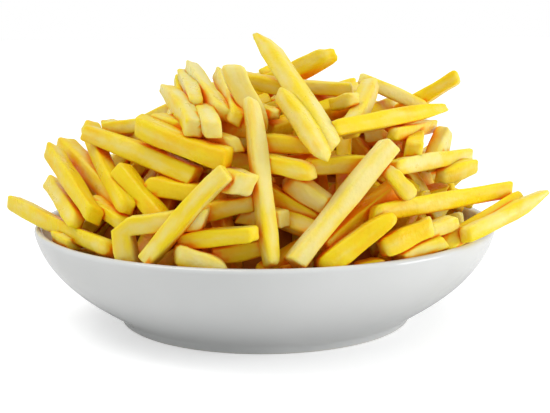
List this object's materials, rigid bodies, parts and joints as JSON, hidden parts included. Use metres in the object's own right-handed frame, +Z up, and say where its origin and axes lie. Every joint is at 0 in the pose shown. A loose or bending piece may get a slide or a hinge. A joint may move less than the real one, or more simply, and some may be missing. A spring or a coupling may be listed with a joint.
{
  "type": "french fries portion in a bowl",
  "caption": "Generous heap of thin-cut french fries piled high above the rim of a shallow white porcelain bowl with a low foot ring.",
  "frame": {"origin": "on the table under the centre of the bowl, at the plane of the foot ring", "axes": "+Z up out of the bowl, +X along the heap's widest direction, -Y towards the side the heap shows best"},
  "size_m": [0.243, 0.21, 0.1341],
  "materials": {
    "porcelain": null,
    "fried_potato": null
  },
  "bodies": {
    "root": {"bowl": "porcelain", "fries": "fried_potato"}
  },
  "joints": []
}
